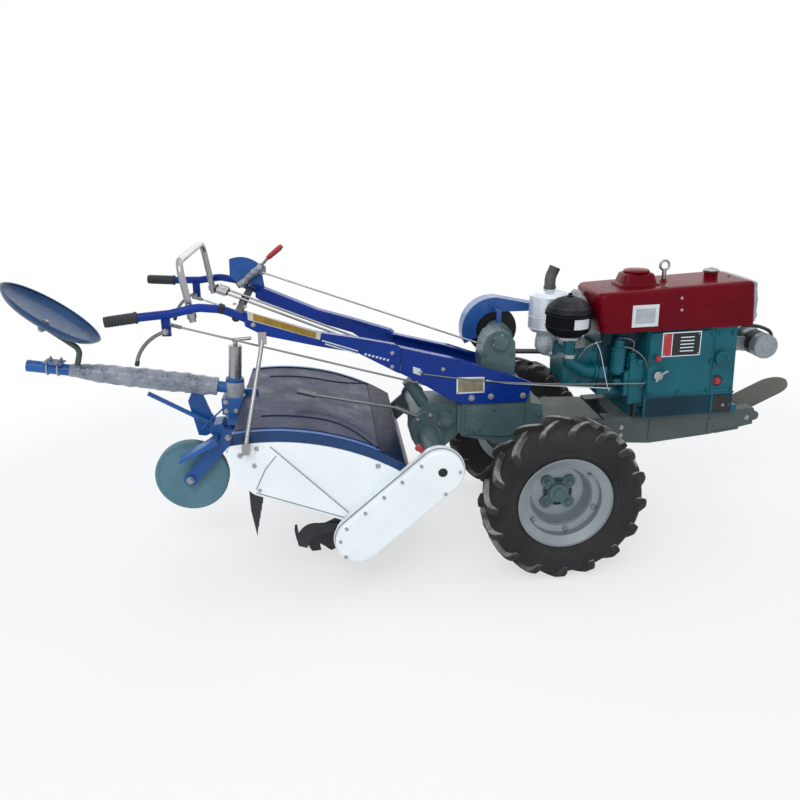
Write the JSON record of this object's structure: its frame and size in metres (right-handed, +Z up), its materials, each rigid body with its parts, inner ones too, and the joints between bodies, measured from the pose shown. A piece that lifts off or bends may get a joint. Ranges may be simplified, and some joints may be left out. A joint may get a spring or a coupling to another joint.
{
  "type": "walking power tiller with rotary tiller and ride-on tail seat",
  "caption": "Two-wheel walking tractor with front diesel engine, rear rotary tiller, handlebars, steerable tail wheel and pan seat; wheels, rotor, belt pulleys and front stand move.",
  "frame": {"origin": "on the floor, under the middle of the machine's length and width; the wheel axle is a little ahead of it", "axes": "+X forwards towards the engine, +Y to the machine's left, +Z up"},
  "size_m": [3.1689, 0.967, 1.2949],
  "materials": {
    "tyre_rubber": "matte",
    "wheel_silver": "satin",
    "casting_green_grey": "satin paint",
    "frame_grey": "satin paint",
    "handle_blue": "gloss paint",
    "cover_blue": "satin paint",
    "rubber_black": "matte",
    "bright_steel": "satin",
    "white_paint": "gloss paint",
    "engine_teal": "gloss paint",
    "hood_red": "gloss paint",
    "black_plastic": "matte",
    "silver_sheet": "satin paint",
    "lamp_glass": "clear",
    "blade_steel": "satin paint",
    "tail_teal": "satin paint",
    "packing_film": "crinkled clear film",
    "stand_grey": "worn paint"
  },
  "bodies": {
    "chassis": {"gearbox": "casting_green_grey", "axle_housings": "casting_green_grey", "clutch_housing": "casting_green_grey", "engine_rails": "frame_grey", "rail_crossmembers": "frame_grey", "engine_block": "engine_teal", "engine_sump": "engine_teal", "gear_cover": "engine_teal", "cylinder_head": "engine_teal", "engine_hood": "hood_red", "lifting_eye": "bright_steel", "air_cleaner": "black_plastic", "muffler": "silver_sheet", "intake_pipe": "engine_teal", "fuel_filter": "engine_teal", "generator": "silver_sheet", "headlamp": "lamp_glass", "drive_belts": "rubber_black", "belt_guard": "handle_blue", "handlebar_right": "handle_blue", "handlebar_left": "handle_blue", "hand_grips": "rubber_black", "handlebar_crossbar": "rubber_black", "hoop_bar": "bright_steel", "steering_levers": "bright_steel", "clutch_sector": "handle_blue", "clutch_lever": "bright_steel", "control_rods": "bright_steel", "tiller_gearcase": "casting_green_grey", "tiller_tubes": "casting_green_grey", "chain_case": "white_paint", "chain_case_cover": "white_paint", "bearing_arm": "frame_grey", "tiller_cover": "cover_blue", "side_plates": "white_paint", "rear_beam": "handle_blue", "rear_rake": "blade_steel", "tiller_lever": "bright_steel", "brace_rod": "bright_steel", "tail_column": "bright_steel", "column_sleeve": "handle_blue", "column_clamp": "handle_blue", "seat_beam": "handle_blue", "seat_pan": "handle_blue", "seat_spring": "frame_grey", "beam_wrap": "packing_film"},
    "wheel_left": {"tyre_left": "tyre_rubber", "rim_left": "wheel_silver", "hub_left": "casting_green_grey"},
    "wheel_right": {"tyre_right": "tyre_rubber", "rim_right": "wheel_silver", "hub_right": "casting_green_grey"},
    "rotor": {"rotor_shaft": "blade_steel", "rotor_blades": "blade_steel"},
    "tail_fork": {"tail_fork": "handle_blue", "foot_pedals": "handle_blue"},
    "tail_wheel": {"tail_wheel": "tail_teal"},
    "front_stand": {"front_stand": "stand_grey"},
    "flywheel": {"flywheel": "silver_sheet"},
    "clutch_pulley": {"clutch_pulley": "silver_sheet"}
  },
  "joints": [
    {"name": "left_wheel_spin", "type": "hinge", "parent": "chassis", "child": "wheel_left", "pos_m": [0.4655, 0.4, 0.32], "axis": [0, 1, 0], "continuous": true},
    {"name": "right_wheel_spin", "type": "hinge", "parent": "chassis", "child": "wheel_right", "pos_m": [0.4655, -0.4, 0.32], "axis": [0, 1, 0], "continuous": true},
    {"name": "rotor_spin", "type": "hinge", "parent": "chassis", "child": "rotor", "pos_m": [-0.32433, 0, 0.245], "axis": [0, 1, 0], "continuous": true},
    {"name": "tail_steer", "type": "hinge", "parent": "chassis", "child": "tail_fork", "pos_m": [-0.80063, 0, 0.54657], "axis": [0.1278, 0, 0.9918], "range_deg": [-30, 30]},
    {"name": "tail_wheel_spin", "type": "hinge", "parent": "tail_fork", "child": "tail_wheel", "pos_m": [-0.99429, 0, 0.36116], "axis": [0, 1, 0], "continuous": true},
    {"name": "front_stand_fold", "type": "hinge", "parent": "chassis", "child": "front_stand", "pos_m": [1.36827, 0, 0.48895], "axis": [0, 1, 0], "range_deg": [0, 100]},
    {"name": "flywheel_spin", "type": "hinge", "parent": "chassis", "child": "flywheel", "pos_m": [1.11921, 0.2, 0.76562], "axis": [0, 1, 0], "continuous": true},
    {"name": "clutch_pulley_spin", "type": "hinge", "parent": "chassis", "child": "clutch_pulley", "pos_m": [0.3341, 0.2, 0.84735], "axis": [0, 1, 0], "continuous": true}
  ],
  "couplings": [
    {"joint": "clutch_pulley_spin", "follows": "flywheel_spin", "ratio": 0.78431}
  ]
}
